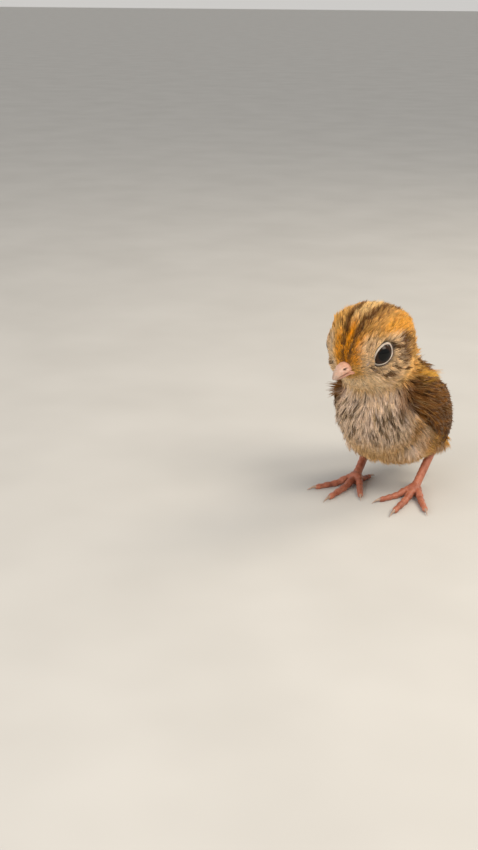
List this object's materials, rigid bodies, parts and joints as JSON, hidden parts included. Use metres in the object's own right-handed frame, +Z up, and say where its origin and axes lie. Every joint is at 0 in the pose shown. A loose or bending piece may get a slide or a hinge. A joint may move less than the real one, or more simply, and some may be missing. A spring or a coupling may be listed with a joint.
{
  "type": "coturnix quail chick",
  "caption": "Life-size still model of a small downy quail chick, hunched on both feet, head turned a little to its right.",
  "frame": {"origin": "on the floor, under the middle of the model's box", "axes": "+Z up, the chick faces -Y, +X is its left side"},
  "size_m": [0.03, 0.0452, 0.0464],
  "materials": {
    "down_body": "soft down, buff and brown",
    "down_wing": "down and young feathers, brown with buff tips",
    "eye": "wet, near black",
    "bill": "pinkish horn, satin",
    "leg_skin": "fine scaled skin, pinkish orange",
    "claw": "horn, satin"
  },
  "bodies": {
    "root": {"bill_lower": "bill", "bill_upper": "bill", "claw_hind_left": "claw", "claw_hind_right": "claw", "claw_inner_left": "claw", "claw_inner_right": "claw", "claw_middle_left": "claw", "claw_middle_right": "claw", "claw_outer_left": "claw", "claw_outer_right": "claw", "eye_left": "eye", "eye_right": "eye", "head": "down_body", "neck": "down_body", "shank_left": "leg_skin", "shank_right": "leg_skin", "tail": "down_body", "thigh_left": "down_body", "thigh_right": "down_body", "toe_hind_left": "leg_skin", "toe_hind_right": "leg_skin", "toe_inner_left": "leg_skin", "toe_inner_right": "leg_skin", "toe_middle_left": "leg_skin", "toe_middle_right": "leg_skin", "toe_outer_left": "leg_skin", "toe_outer_right": "leg_skin", "torso": "down_body", "wing_left": "down_wing", "wing_right": "down_wing"}
  },
  "joints": []
}
